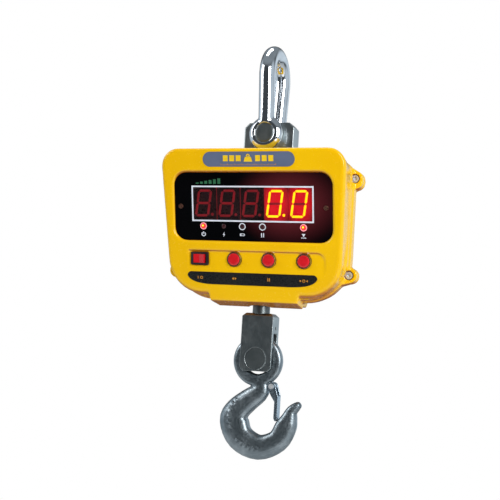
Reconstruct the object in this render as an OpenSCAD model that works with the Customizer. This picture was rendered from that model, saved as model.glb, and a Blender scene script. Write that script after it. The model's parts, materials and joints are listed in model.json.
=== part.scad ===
// Crane scale: a load cell on a bow shackle, in a two-part case with a five-digit display, and a swivel
// safety hook below. Millimetres, +Z up, the display faces -Y. The origin is the inside of the bow's crown.

/* [Shackle] */
// Inside of the bow's crown down to the pin's axis
bow_reach = 89; // [84:1:96]
// Diameter of the bow's bar
bow_bar_d = 19; // [17:0.5:21]
// Radius of the bow's crown, to the middle of its bar
bow_crown_r = 29; // [27:0.5:33]
// Diameter of the shackle pin
pin_d = 22; // [20:0.5:24]
// Outer radius of each ear
ear_r = 20; // [18:0.5:21]

/* [Load cell] */
// Width of the load cell
cell_w = 60; // [56:1:64]
// Thickness of the load cell where it goes through the case
cell_t = 22; // [20:1:24]
// Height of the load cell above the shackle pin
cell_head = 15.5; // [15:0.5:18]
// Depth of the load cell's foot, front to back
foot_t = 36; // [34:1:38]
// Diameter of the load rod
rod_d = 20; // [18:1:22]

/* [Case] */
// Width of the case's front
case_w = 204; // [198:2:210]
// Height of the case's front, without the tab at its foot
case_h = 159; // [155:1:163]
// Shackle pin down to the top of the case
case_drop = 28; // [26:1:30]
// Load axis to the front's top edge
front_depth = 73.4; // [71:0.2:76]
// Load axis to the back of the case
back_depth = 40; // [38:1:44]
// Angle that the front leans back towards its foot
rake = 14; // [12:0.5:15]
// Thickness of the cast walls
wall = 3; // [2.5:0.5:3.5]
// Load axis to the joint between the two shells
seam_depth = 3; // [2:0.5:4]
// Radius of each screw lug
lug_r = 9; // [8.5:0.1:9.5]

/* [Display] */
// Width of the black panel
panel_w = 184; // [180:2:186]
// Height of the black panel
panel_h = 76; // [74:1:78]
// Width of one digit module
digit_w = 28.1; // [27.5:0.1:28.2]
// Height of one digit module
digit_h = 38.6; // [37:0.2:39]

/* [Controls] */
// Distance between neighbouring buttons
button_pitch = 40.6; // [38:0.2:42]
// Diameter of a button's metal ring
button_ring_d = 16.5; // [15.5:0.5:18]
// Travel of a button
button_travel = 1.5; // [1:0.1:1.5]
// Angle that the rocker leans each way
rocker_tilt = 9; // [6:1:10]

/* [Clevis and hook] */
// Width of the clevis block
clevis_w = 37.4; // [34:0.2:38]
// Depth of the clevis block, front to back
clevis_t = 24; // [23:1:27]
// Diameter of the hook pin
hook_pin_d = 25; // [24:0.5:26]
// Outer radius of the hook's eye
eye_r = 29; // [28.5:0.1:29.5]
// Inner radius of the hook's eye
eye_hole_r = 15; // [14.5:0.1:15.5]
// Thickness of the hook's eye, front to back
eye_t = 12.5; // [11:0.5:12.5]

/* [Hidden] */
$fn = 64;
hull_fn = 32;

// Smallest gaps: eps runs a cut past a face, running is the radial play of a turning shaft
eps = 0.5;
running = 0.06;
loose = 0.3;

// Shackle
ear_in = 13;
ear_out = 29;
ear_face_r = 15;
ear_mid = (ear_in + ear_out) / 2;
bow_z = bow_reach + bow_bar_d / 2 - bow_crown_r;
leg_foot_z = 8;
leg_dy = ear_mid;
leg_dz = bow_z - leg_foot_z;
leg_lean = asin(bow_crown_r / norm([leg_dy, leg_dz])) - atan(leg_dy / leg_dz);
leg_len = sqrt(pow(norm([leg_dy, leg_dz]), 2) - pow(bow_crown_r, 2));
leg_step = 0.1;
pin_head_r = 17;
pin_head_t = 8;
pin_eye_r = 5;

// Load cell, heights measured from the shackle pin
cell_chamfer = 6;
sense_z = -80;
sense_r = 12;
sense_slot = 3;
sense_step = 18;
foot_top_z = -112;
foot_floor_z = -150;
foot_end_z = -165;
foot_window_w = 40;
foot_window_top_z = -120;

// Thrust bearing and rod
race_t = 2.5;
race_r = 16;
ball_r = 2.5;
ball_ring_r = 13;
ball_count = 12;
rod_thread_r = 9;
nut_across_flats = 27;
nut_t = 14;
nut_pin_r = 1.6;
race_top_z = foot_floor_z + race_t;
upper_race_z = race_top_z + 2 * ball_r + running;
nut_z = upper_race_z + race_t;

// Clevis, heights measured from the shackle pin
clevis_top_z = -205.7;
clevis_end_z = -271.6;
hook_pin_z = -257.4;
clevis_chamfer = 4;
clevis_slot_t = eye_t + 1;
clevis_slot_z = -228.3;
rod_end_z = -226;
clevis_screw_z = -222;
clevis_screw_r = 2;

// Hook: its eye hangs on the top of the pin, so its centre is lower than the pin's
eye_z = hook_pin_z - (eye_hole_r - running - hook_pin_d / 2);
eye_edge_r = 4;
// Each row: x, z, half width in the hook's plane, half thickness across it
hook_path = [
    [2, -278, 8, 6], [4.8, -293, 10.8, 7.5], [-8.7, -305, 12.8, 9], [-21, -316.5, 14.4, 10],
    [-25, -329, 17, 10], [-16, -348, 15.9, 10], [6.3, -357, 14.1, 10], [28.5, -348, 12.7, 10],
    [37.7, -331, 12.2, 9.5], [41, -321.5, 9.2, 8.5], [43.2, -313.8, 6.5, 7.5],
    [47.6, -309, 5.3, 6.5], [51.5, -305.5, 3.8, 5]
];
path_steps = 4;
ring_sides = 24;
outer_power = 0.85;
tip_reach = 1.6;

// Latch
latch_pivot = [19, -287.5];
latch_pin_r = 2;
latch_boss_r = 4.8;
latch_lug_t = 6;
latch_gap = 4.6;
latch_plate_t = 1.4;
latch_left_x = 23.5;
latch_right_x = 27.4;
latch_end_z = -326;
latch_shoulder = 10.5;

// Case, heights measured from the shackle pin
face_r = 4;
face_flare = 5.5;
face_rise = 1.2;
seam_draft = 1.5;
front_half = case_w / 2;
case_top_z = -case_drop;
case_foot_z = case_top_z - case_h;
front_corner = [20, 39];
flange_half = front_half + 3.2;
flange_top_z = case_top_z - 1;
flange_foot_z = case_foot_z - 5;
flange_corner = [22, 51];
step_half = front_half + 1.7;
step_foot_z = case_foot_z - 2.5;
step_corner = [21, 48];
flange_t = 11;
step_t = 9;
tab_z = -199;
tab_top_half = 54;
tab_half = 50.5;
tab_root_z = case_foot_z + 6;
tab_back = 22;
tab_slope = 9;
tab_inset = 3;
tab_floor_z = tab_z + 7.5;
gasket_t = 1.2;
front_seam = -seam_depth - gasket_t / 2;
rear_seam = -seam_depth + gasket_t / 2;
lug_upper = [105, -50.6];
lug_lower = [103.5, -159.4];
lug_front_t = 9;
lug_rear_t = 6;
screw_head_r = 4.25;
screw_head_t = 5;
screw_r = 2.5;
screw_len = 14;
screw_lead = 3;
rear_mid_y = 18;
rear_edge_y = 34;
cell_clear = 0.4;
neck_half = cell_w / 2 + cell_clear;
neck_back = cell_t / 2 + cell_clear;
collar = 5;
rod_hole_r = 13;

// Front face: places are measured down the face from its top edge
panel_v = 27;
panel_r = 14;
panel_t = 3;
recess = 5;
recess_floor = 3.5;
recess_bevel = 2.2;
window_v = 42;
window_w = 5 * digit_w + 0.3;
window_h = digit_h;
digit_t = 9;
board_t = 1.6;
board_w = 180;
board_h = 70;
board_v = 30;
board_depth = recess + 0.2 + digit_t;
led_v = 87;
led_r = 2.5;
led_x = [-58, -33.5, -11.5, 12.2, 59.5];
panel_screw_x = 85;
panel_screw_v = 65;
small_screw_r = 1.5;
small_head_r = 2.9;
small_head_t = 1.8;
standoff_x = 82;
standoff_r = 3;
upper_label_v = 3.6;
upper_label_w = 107;
upper_label_h = 16.5;
upper_label_x = -2.5;
lower_label_v = 139;
lower_label_w = 153;
lower_label_h = 14;
lower_label_x = -1.5;
label_t = 0.4;

// Control pocket: deepest at its top edge, it runs out to nothing lower down
pocket_v = 114.5;
pocket_len = 26;
pocket_tilt = 4;
pocket_depth = pocket_len * sin(pocket_tilt);
pocket_left_x = -77;
pocket_right_x = 84;
pocket_r = 10;
control_y = -9.5;
button_x = [-21.5, -21.5 + button_pitch, -21.5 + 2 * button_pitch];
ring_t = 1.8;
barrel_r = 7.7;
cap_bore_r = 7.2;
cap_r = 6.8;
cap_floor = 0.3;
cap_top = 3.6;
stem_r = 3;
stem_bore_r = 3.3;
barrel_len = 16;
button_nut_t = 3;
rocker_x = -62.8;
rocker_bezel = [21, 14];
rocker_body = [18.4, 12.4];
rocker_well = [15.5, 10.4];
rocker_half = 6.7;
rocker_half_t = 4.9;
rocker_pivot_z = -1.5;
rocker_trunnion_r = 1.2;
rocker_well_depth = 9;
rocker_body_depth = 18;

// Inside the case
battery = [24, 44, 86];
battery_x = 52;
battery_z = -128;
bar_y = -16;
bar_t = 1.5;
battery_y = bar_y + bar_t;
bar_h = 14;
bar_z = -84;
bar_post_x = 72;
post_r = 5;
plate_y = foot_t / 2;
plate_t = 3;
plate_w = 92;
plate_z = [-160, -128];
plate_boss_x = 40;
plate_foot_x = 25;
main_board = [66, 56];
main_board_z = -82;
main_board_y = 31;
back_wall_y = back_depth - wall;
socket_x = 62;
socket_z = -150;
socket_r = 5.5;
socket_flange_r = 8;
flange_sink = 1.6;
socket_wall = 3;

// Pin-centred frame: z = 0 is the shackle pin's axis
module hang() { translate([0, 0, -bow_reach]) children(); }
// Frame of the front face: x to the right, y up the face, z out of it, origin on the top edge
module face() { hang() translate([0, -front_depth, case_top_z]) rotate([90 + rake, 0, 0]) children(); }
// Frame of the pocket's floor, origin at its top edge
module control() { face() translate([0, -pocket_v, -pocket_depth]) rotate([-pocket_tilt, 0, 0]) children(); }
// Cylinder along +Y from y0 to y1 at x, z
module along_y(x, z, r, y0, y1) { translate([x, y1, z]) rotate([90, 0, 0]) cylinder(r = r, h = y1 - y0); }
// Extrudes an x, z outline from y0 to y1
module slab(y0, y1) { translate([0, y1, 0]) rotate([90, 0, 0]) linear_extrude(y1 - y0) children(); }
// Mirrors its children to both sides
module both_sides() {
    children();
    mirror([1, 0, 0]) children();
}

// Outline of the case: half width at its foot, top, foot, radii of the upper and lower corners, and how
// much wider it is at its top. Its sides touch both corners.
module case_outline(half, top, foot, corner, inset = 0, flare = 0) {
    w = half - inset;
    t = top - inset;
    f = foot + inset;
    rt = corner[0] - inset;
    rb = corner[1] - inset;
    upper = [w + flare - rt, t - rt];
    lower = [w - rb, f + rb];
    apart = upper - lower;
    lean = atan2(apart[1], apart[0]) - acos((rb - rt) / norm(apart));
    out = [cos(lean), sin(lean)];
    for (s = [-1, 1]) {
        translate([s * upper[0], upper[1]]) circle(rt);
        translate([s * lower[0], lower[1]]) circle(rb);
    }
    a = upper + rt * out;
    b = lower + rb * out;
    polygon([
        [-a[0], a[1]], [-upper[0], t], [upper[0], t], a,
        b, [lower[0], f], [-lower[0], f], [-b[0], b[1]]
    ]);
}
module front_outline(inset = 0) { case_outline(front_half, case_top_z, case_foot_z, front_corner, inset); }
module flange_outline(inset = 0) {
    case_outline(flange_half, flange_top_z, flange_foot_z, flange_corner, inset);
}
module step_outline(inset = 0) { case_outline(step_half, flange_top_z, step_foot_z, step_corner, inset); }
module tab_outline(inset = 0) {
    polygon([
        [-tab_top_half + inset, tab_root_z], [tab_top_half - inset, tab_root_z],
        [tab_half - inset, tab_z + inset], [-tab_half + inset, tab_z + inset]
    ]);
}

// Room inside the tab at the foot of both shells
module tab_hollow() {
    w = tab_half - tab_inset - 4;
    h = tab_root_z - tab_z;
    translate([-w, -front_depth, tab_floor_z]) cube([2 * w, front_depth + tab_back - wall, h]);
}
// Rectangular hole in the top of both shells for the load cell
module neck_hole() {
    translate([-neck_half, -neck_back, -60]) cube([2 * neck_half, 2 * neck_back, 60]);
}
// Cast collar around that hole, from y0 to y1
module neck_collar(y0, y1) {
    w = neck_half + collar;
    translate([-w, y0, case_top_z - 2 * collar]) cube([2 * w, y1 - y0, 2 * collar]);
}
// Round hole in the tab of both shells for the load rod
module rod_hole() { translate([0, 0, tab_z - 1]) cylinder(r = rod_hole_r, h = 30); }

// Thin slice of the front outline, parallel to the raked face and behind it
module face_slice(behind, inset) {
    thin = 0.01;
    top = case_top_z + face_rise;
    multmatrix([[1, 0, 0, 0], [0, 1, -tan(rake), case_top_z * tan(rake)], [0, 0, 1, 0], [0, 0, 0, 1]])
        slab(behind - front_depth, behind - front_depth + thin)
        case_outline(front_half, top, case_foot_z, front_corner, inset, face_flare, $fn = hull_fn);
}
// Solid of the front shell's bowl, with a rounded front edge
module front_bowl(inset, behind, round_r, y1) {
    hull() {
        slab(y1 - eps, y1) front_outline(inset + seam_draft, $fn = hull_fn);
        for (a = [0 : 30 : 90]) {
            face_slice(behind + round_r * (1 - sin(a)), inset + round_r * (1 - cos(a)));
        }
    }
}
// Slice of the rear shell, smaller than the front by these amounts at its sides, top and foot
module rear_slice(y, side, top, foot, inset) {
    half = front_half - side;
    slab(y - eps, y)
        case_outline(half, case_top_z - top, case_foot_z + foot, front_corner, inset, $fn = hull_fn);
}
// Solid of the rear shell's bowl
module rear_bowl(inset, y0) {
    hull() {
        slab(y0, y0 + eps) step_outline(inset, $fn = hull_fn);
        rear_slice(rear_mid_y, 4, 3, 2, inset);
        rear_slice(rear_edge_y - inset, 10, 7, 7, inset);
        rear_slice(back_depth - inset, 20, 15, 16, inset);
    }
}
module lug_outline() {
    both_sides() {
        for (p = [lug_upper, lug_upper - [0, 3], lug_lower]) translate(p) circle(lug_r);
        polygon([
            [86, flange_top_z], lug_upper + 0.99 * lug_r * [0.5, 0.866], lug_upper + [lug_r, 0],
            lug_upper + [lug_r, -3], lug_upper + [0, -lug_r - 3], [92, -65]
        ]);
        polygon([lug_lower + [0, lug_r], lug_lower + [0, -lug_r], [92, -172], [92, -147]]);
    }
}
module lug_holes(r, y0, y1) {
    both_sides() for (p = [lug_upper, lug_lower]) along_y(p[0], p[1], r, y0, y1);
}

// Stadium lying along x, with its upper edge at v down the face
module stadium(x, v, w, h) {
    r = h / 2;
    for (s = [-1, 1]) translate([x + s * (w / 2 - r), -v - r]) circle(r);
    translate([x - w / 2 + r, -v - h]) square([w - h, h]);
}
module rounded_plate(w, h, v, r) {
    for (sx = [-1, 1], y = [-v - r, -v - h + r]) translate([sx * (w / 2 - r), y]) circle(r);
    translate([-w / 2, -v - h + r]) square([w, h - 2 * r]);
    translate([-w / 2 + r, -v - h]) square([w - 2 * r, h]);
}
module hex(across, h) { cylinder(r = across / sqrt(3), h = h, $fn = 6); }

// Shackle -------------------------------------------------------------------
module bow_leg() {
    translate([0, bow_crown_r * cos(leg_lean), bow_z - bow_crown_r * sin(leg_lean)])
        rotate([180 - leg_lean, 0, 0]) translate([0, 0, -eps])
        cylinder(d = bow_bar_d - leg_step, h = leg_len + eps);
}
module ear() {
    rotate([-90, 0, 0]) rotate_extrude() polygon([
        [0, ear_in], [ear_r - 3, ear_in], [ear_r, ear_in + 3], [ear_r, ear_out - 6],
        [ear_r - 1.5, ear_out - 2.5], [ear_face_r, ear_out], [0, ear_out]
    ]);
}
module shackle() {
    color("gainsboro") hang() difference() {
        union() {
            translate([0, 0, bow_z]) rotate([0, -90, 0]) rotate([0, 0, -90 - leg_lean])
                rotate_extrude(angle = 180 + 2 * leg_lean) translate([bow_crown_r, 0]) circle(d = bow_bar_d);
            for (m = [0, 1]) mirror([0, m, 0]) {
                bow_leg();
                ear();
            }
        }
        translate([-ear_r, -ear_in, -ear_r]) cube([2 * ear_r, 2 * ear_in, 2 * ear_r]);
        along_y(0, 0, pin_d / 2, -ear_out - 2, ear_out + 2);
        along_y(0, 0, pin_head_r + 0.5, ear_out, ear_out + pin_head_t);
    }
}
module shackle_pin() {
    bevel = 0.6;
    color("dimgray") hang() difference() {
        rotate([90, 0, 0]) rotate_extrude() polygon([
            [0, -ear_out - pin_head_t], [pin_head_r - bevel, -ear_out - pin_head_t],
            [pin_head_r, -ear_out - pin_head_t + bevel], [pin_head_r, -ear_out], [pin_d / 2, -ear_out],
            [pin_d / 2, ear_out - bevel / 2], [pin_d / 2 - bevel, ear_out + bevel / 2],
            [0, ear_out + bevel / 2]
        ]);
        translate([0, ear_out + pin_head_t / 2, -pin_head_r]) cylinder(r = pin_eye_r / 2, h = 2 * pin_head_r);
    }
}

// Load cell -----------------------------------------------------------------
module load_cell() {
    c = cell_chamfer;
    w = cell_w / 2;
    t = cell_t / 2;
    color("silver") hang() difference() {
        union() {
            slab(-t, t) polygon([
                [-w, cell_head - c], [-w + c, cell_head], [w - c, cell_head], [w, cell_head - c],
                [w, foot_top_z], [-w, foot_top_z]
            ]);
            translate([-w, -foot_t / 2, foot_end_z]) cube([cell_w, foot_t, foot_top_z - foot_end_z]);
        }
        along_y(0, 0, pin_d / 2 + running, -foot_t, foot_t);
        along_y(0, sense_z, sense_r, -foot_t, foot_t);
        for (s = [-1, 1])
            translate([s * (w - sense_step) - w, -foot_t, sense_z + s * sense_step - sense_slot / 2])
            cube([cell_w, 2 * foot_t, sense_slot]);
        translate([-foot_window_w / 2, -foot_t, foot_floor_z])
            cube([foot_window_w, 2 * foot_t, foot_window_top_z - foot_floor_z]);
        translate([0, 0, foot_end_z - eps]) cylinder(r = rod_d / 2 + running, h = 40);
        for (s = [-1, 1]) along_y(s * plate_foot_x, -155, screw_r, 0, foot_t);
    }
}
module strain_gauges() {
    gauge = [1, 10, 6];
    color("orange") hang() for (a = [45 : 90 : 315])
        translate([0, 0, sense_z]) rotate([0, a, 0]) translate([sense_r - 1.4, 0, 0])
        cube(gauge, center = true);
}
module gauge_sealant() {
    depth = 2;
    color("white") hang() for (y0 = [-cell_t / 2 + 1, cell_t / 2 - 1 - depth])
        along_y(0, sense_z, sense_r, y0, y0 + depth);
}
module neck_seal() {
    w = neck_half + collar;
    t = neck_back + collar;
    color("black") hang() translate([0, 0, case_top_z]) difference() {
        translate([-w, -t, 0]) cube([2 * w, 2 * t, 3]);
        translate([-neck_half, -neck_back, -1]) cube([2 * neck_half, 2 * neck_back, 5]);
    }
}
module mount_plate() {
    color("lightsteelblue") hang() difference() {
        translate([-plate_w / 2, plate_y, plate_z[0]]) cube([plate_w, plate_t, plate_z[1] - plate_z[0]]);
        for (s = [-1, 1]) {
            along_y(s * plate_foot_x, -155, screw_r, plate_y - 1, plate_y + 5);
            for (z = [-153, -135]) along_y(s * plate_boss_x, z, screw_r, plate_y - 1, plate_y + 5);
        }
    }
}
module mount_plate_screws() {
    color("gray") hang() both_sides() {
        along_y(plate_foot_x, -155, screw_r, 6, plate_y + plate_t);
        along_y(plate_foot_x, -155, screw_head_r, plate_y + plate_t, plate_y + plate_t + 4);
        for (z = [-153, -135]) {
            along_y(plate_boss_x, z, screw_r, plate_y, plate_y + plate_t + 9);
            along_y(plate_boss_x, z, screw_head_r, plate_y - 4, plate_y);
        }
    }
}

// Case ----------------------------------------------------------------------
module front_shell() {
    pad = recess + recess_floor;
    lug_face_y = front_seam - lug_front_t;
    color("gold") difference() {
        union() {
            hang() difference() {
                union() {
                    front_bowl(0, 0, face_r, front_seam);
                    slab(front_seam - flange_t, front_seam) flange_outline();
                    slab(front_seam - flange_t - step_t, front_seam) step_outline();
                    slab(front_seam - lug_front_t, front_seam) lug_outline();
                    slab(-front_depth, front_seam) tab_outline();
                }
                front_bowl(wall, wall, face_r - wall, front_seam + eps);
                intersection() {
                    tab_hollow();
                    translate([0, -front_depth, case_top_z]) rotate([90 + rake, 0, 0])
                        translate([-150, -250, -150]) cube([300, 300, 150 - wall]);
                }
            }
            hang() neck_collar(-neck_back - collar, front_seam);
            face() translate([0, 0, -pad]) linear_extrude(pad - wall + 0.2) panel_outline(5);
        }
        face() translate([-200, -300, 0]) cube([400, 400, 100]);
        face() translate([0, 0, -recess]) linear_extrude(20) panel_outline(loose);
        face() recess_edge();
        face() translate([-window_w / 2, -window_v - window_h, -20]) cube([window_w, window_h, 30]);
        face() for (x = led_x) translate([x, -led_v, -20]) cylinder(r = led_r + loose, h = 30);
        face() for (s = [-1, 1]) translate([s * panel_screw_x, -panel_screw_v, -pad - 1])
            cylinder(r = small_screw_r, h = 20);
        control() linear_extrude(20) pocket_outline();
        control() for (x = button_x) translate([x, control_y, -20]) cylinder(r = barrel_r + 0.2, h = 40);
        control() translate([rocker_x, control_y, 0]) column(rocker_body + [0.4, 0.4], -20, 20);
        hang() lug_holes(screw_r + 0.2, front_seam - lug_front_t - 1, 0);
        hang() lug_holes(screw_head_r + 0.8, lug_face_y - screw_lead, lug_face_y + screw_head_t + 1);
        hang() neck_hole();
        hang() rod_hole();
        hang() translate([0, front_seam, tab_z]) rotate([-tab_slope, 0, 0]) translate([-100, -100, -50])
            cube([200, 100, 50]);
    }
}
// Outline of the display panel, larger all round by this much
module panel_outline(grow) {
    rounded_plate(panel_w + 2 * grow, panel_h + 2 * grow, panel_v - grow, panel_r + grow);
}
// Slope between the panel's recess and the face
module recess_edge() {
    over = 0.5;
    hull() {
        translate([0, 0, -recess_bevel - over]) linear_extrude(eps) panel_outline(loose - over, $fn = hull_fn);
        translate([0, 0, over]) linear_extrude(eps) panel_outline(loose + recess_bevel + over, $fn = hull_fn);
    }
}
module pocket_outline() {
    w = pocket_right_x - pocket_left_x;
    translate([pocket_left_x, -pocket_len - 10]) square([w - pocket_r, pocket_len + 10]);
    translate([pocket_right_x - pocket_r, -pocket_len - 10]) square([pocket_r, pocket_len + 10 - pocket_r]);
    translate([pocket_right_x - pocket_r, -pocket_r]) circle(pocket_r);
}
module rear_shell() {
    color("gold") hang() difference() {
        union() {
            difference() {
                union() {
                    rear_bowl(0, rear_seam);
                    slab(rear_seam, rear_seam + 6) flange_outline(1);
                    slab(rear_seam, rear_seam + lug_rear_t) lug_outline();
                    slab(rear_seam, tab_back) tab_outline(tab_inset);
                }
                rear_bowl(wall, rear_seam - eps);
                tab_hollow();
            }
            both_sides() {
                for (z = [-153, -135]) along_y(plate_boss_x, z, post_r, plate_y + plate_t, back_wall_y + 1);
                along_y(bar_post_x, bar_z, post_r, bar_y + bar_t, back_wall_y + 1);
            }
            along_y(socket_x, socket_z, socket_flange_r + 3, back_wall_y - socket_wall, back_wall_y + 1);
            neck_collar(rear_seam, neck_back + collar);
        }
        neck_hole();
        rod_hole();
        lug_holes(screw_r, rear_seam - 1, rear_seam + lug_rear_t + 1);
        both_sides() {
            for (z = [-153, -135]) along_y(plate_boss_x, z, screw_r, plate_y, plate_y + plate_t + 10);
            along_y(bar_post_x, bar_z, small_screw_r, bar_y, bar_y + 10);
        }
        along_y(socket_x, socket_z, socket_r + 0.1, 20, back_depth + 1);
        along_y(socket_x, socket_z, socket_flange_r + 0.2, back_depth - flange_sink, back_depth + 1);
    }
}
module case_gasket() {
    color("black") hang() difference() {
        union() {
            slab(front_seam, rear_seam) step_outline(0.5);
            slab(front_seam, rear_seam) tab_outline(tab_inset + 0.5);
        }
        slab(front_seam - 1, rear_seam + 1) step_outline(wall + 2);
        slab(front_seam - 1, rear_seam + 1) tab_outline(tab_inset + 4.5);
        lug_holes(screw_r + 0.2, front_seam - 1, rear_seam + 1);
        neck_hole();
        rod_hole();
    }
}
module case_screws() {
    head_y = front_seam - lug_front_t + 1;
    color("silver") hang() difference() {
        union() {
            lug_holes(screw_head_r, head_y, head_y + screw_head_t);
            lug_holes(screw_r, head_y, head_y + screw_len);
        }
        both_sides() for (p = [lug_upper, lug_lower])
            translate([p[0], head_y + 2.5, p[1]]) rotate([90, 0, 0]) hex(4, 5);
    }
}

// Display -------------------------------------------------------------------
module display_panel() {
    color("black") face() difference() {
        translate([0, 0, -recess]) linear_extrude(panel_t) rounded_plate(panel_w, panel_h, panel_v, panel_r);
        translate([-window_w / 2, -window_v - window_h, -recess - 1]) cube([window_w, window_h, 10]);
        for (s = [-1, 1]) translate([s * panel_screw_x, -panel_screw_v, -recess - 1])
            cylinder(r = small_screw_r, h = 10);
    }
}
module panel_screws() {
    color("silver") face() for (s = [-1, 1]) translate([s * panel_screw_x, -panel_screw_v, 0]) {
        translate([0, 0, -recess - recess_floor]) cylinder(r = small_screw_r, h = recess_floor + panel_t);
        translate([0, 0, panel_t - recess])
            cylinder(r1 = small_head_r, r2 = small_head_r - 0.8, h = small_head_t);
    }
}
module display_filter() {
    fit = 0.1;
    color("darkred") face() translate([-window_w / 2 + fit, -window_v - window_h + fit, -recess])
        cube([window_w - 2 * fit, window_h - 2 * fit, panel_t]);
}
module digit_module(i) {
    gap = 0.15;
    x = (i - 3) * digit_w - digit_w / 2;
    color("maroon") face() translate([x + gap, -window_v - digit_h + 2 * gap, -board_depth])
        cube([digit_w - 2 * gap, digit_h - 4 * gap, digit_t]);
}
module display_board() {
    back = -board_depth - board_t;
    color("green") face() difference() {
        translate([-board_w / 2, -board_v - board_h, back]) cube([board_w, board_h, board_t]);
        board_posts() translate([0, 0, back - 1]) cylinder(r = small_screw_r, h = board_t + 2);
    }
}
module board_posts() {
    for (x = [-standoff_x, standoff_x], v = [board_v + 5, board_v + board_h - 5])
        translate([x, -v, 0]) children();
}
module board_standoffs() {
    color("goldenrod") face() board_posts() difference() {
        translate([0, 0, -board_depth]) cylinder(r = standoff_r, h = board_depth - recess - recess_floor);
        translate([0, 0, -board_depth - 1]) cylinder(r = small_screw_r, h = board_depth);
    }
}
module board_screws() {
    color("silver") face() board_posts() translate([0, 0, -board_depth - board_t]) {
        cylinder(r = small_screw_r, h = board_t + 5);
        translate([0, 0, -small_head_t]) cylinder(r = small_head_r, h = small_head_t);
    }
}
module indicator_leds() {
    color("red") face() for (x = led_x) translate([x, -led_v, 0]) {
        translate([0, 0, -board_depth]) cylinder(r = led_r, h = digit_t - led_r);
        translate([0, 0, -recess - 0.2 - led_r]) sphere(led_r);
    }
}
module upper_label() {
    color("slategray") face() linear_extrude(label_t)
        stadium(upper_label_x, upper_label_v, upper_label_w, upper_label_h);
}
module lower_label() {
    color("black") face() linear_extrude(label_t)
        stadium(lower_label_x, lower_label_v, lower_label_w, lower_label_h);
}

// Electronics ---------------------------------------------------------------
module main_board() {
    chip = [18, 3, 18];
    connector = [14, 8, 6];
    color("darkgreen") hang() difference() {
        union() {
            translate([-main_board[0] / 2, main_board_y, main_board_z - main_board[1] / 2])
                cube([main_board[0], board_t, main_board[1]]);
            translate([-24, main_board_y - chip[1], main_board_z - 10]) cube(chip);
            translate([8, main_board_y - connector[1], main_board_z - 24]) cube(connector);
        }
        main_board_posts(small_screw_r, main_board_y - 1, main_board_y + 3);
    }
}
module main_board_posts(r, y0, y1) {
    for (x = [-28, 28], z = [-23, 23]) along_y(x, main_board_z + z, r, y0, y1);
}
module main_board_standoffs() {
    color("goldenrod") hang() {
        main_board_posts(standoff_r, main_board_y + board_t, back_wall_y);
        main_board_posts(small_screw_r, main_board_y, main_board_y + board_t);
        main_board_posts(small_head_r, main_board_y - small_head_t, main_board_y);
    }
}
module receiver_module() {
    color("royalblue") hang() translate([2, main_board_y - 3, main_board_z - 4]) cube([24, 3, 16]);
}
module receiver_antenna() {
    color("peru") hang() translate([14, main_board_y - 1.5, main_board_z + 12]) cylinder(r = 1, h = 30);
}
module battery_pack(s) {
    terminal = [6, 3, 2];
    color("darkslateblue") hang() translate([s * battery_x, battery_y, battery_z]) {
        translate([-battery[0] / 2, 0, 0]) cube(battery);
        for (y = [8, 24]) translate([-terminal[0] / 2, y, battery[2]]) cube(terminal);
    }
}
module battery_left() { battery_pack(-1); }
module battery_right() { battery_pack(1); }
module battery_bar() {
    w = 2 * bar_post_x + 14;
    color("lightsteelblue") hang() difference() {
        translate([-w / 2, bar_y, bar_z - bar_h / 2]) cube([w, bar_t, bar_h]);
        both_sides() along_y(bar_post_x, bar_z, small_screw_r, bar_y - 1, bar_y + 3);
    }
}
module battery_bar_screws() {
    color("silver") hang() both_sides() {
        along_y(bar_post_x, bar_z, small_screw_r, bar_y, bar_y + 9);
        along_y(bar_post_x, bar_z, small_head_r, bar_y - small_head_t, bar_y);
    }
}
module charge_socket() {
    color("black") hang() difference() {
        union() {
            along_y(socket_x, socket_z, socket_r, back_depth - 14, back_depth - flange_sink);
            along_y(socket_x, socket_z, socket_flange_r, back_depth - flange_sink, back_depth - 0.2);
        }
        difference() {
            along_y(socket_x, socket_z, 2.75, back_depth - 10, back_depth + 1);
            along_y(socket_x, socket_z, 1, back_depth - 11, back_depth - 2);
        }
    }
}
module charge_socket_nut() {
    color("silver") hang() difference() {
        translate([socket_x, back_wall_y - socket_wall, socket_z]) rotate([90, 0, 0]) hex(14, 2.5);
        along_y(socket_x, socket_z, socket_r, back_wall_y - 8, back_wall_y + 1);
    }
}

// Controls ------------------------------------------------------------------
// Box of a given size in x and y, centred on the axis, from z0 to z1
module column(size, z0, z1) { translate([-size[0] / 2, -size[1] / 2, z0]) cube([size[0], size[1], z1 - z0]); }
// Rod along y through the rocker's pivot
module trunnion(r, length) { translate([0, length / 2, 0]) rotate([90, 0, 0]) cylinder(r = r, h = length); }
module rocker_housing() {
    color("black") control() translate([rocker_x, control_y, 0]) difference() {
        union() {
            column(rocker_bezel, 0, ring_t);
            column(rocker_body, -rocker_body_depth, ring_t / 2);
        }
        column(rocker_well, -rocker_well_depth, 10);
        translate([0, 0, rocker_pivot_z]) trunnion(rocker_trunnion_r + running, 20);
    }
}
module rocker() {
    h = rocker_half;
    color("red") control() translate([rocker_x, control_y, rocker_pivot_z]) rotate([0, -rocker_tilt, 0]) {
        translate([0, rocker_half_t, 0]) rotate([90, 0, 0]) linear_extrude(2 * rocker_half_t)
            polygon([[-h, 4.6], [0, 3.2], [h, 4.6], [h, -1], [1.5, -4.5], [-1.5, -4.5], [-h, -1]]);
        trunnion(rocker_trunnion_r, rocker_body[1]);
    }
}
module button_housing(i) {
    color("lightgray") control() translate([button_x[i - 1], control_y, 0]) difference() {
        union() {
            cylinder(r1 = button_ring_d / 2, r2 = button_ring_d / 2 - 0.5, h = ring_t);
            translate([0, 0, -barrel_len]) cylinder(r = barrel_r, h = barrel_len + 0.5);
        }
        translate([0, 0, -cap_floor - button_travel]) cylinder(r = cap_bore_r, h = 10);
        translate([0, 0, 4 - barrel_len]) cylinder(r = stem_bore_r, h = barrel_len);
    }
}
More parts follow.
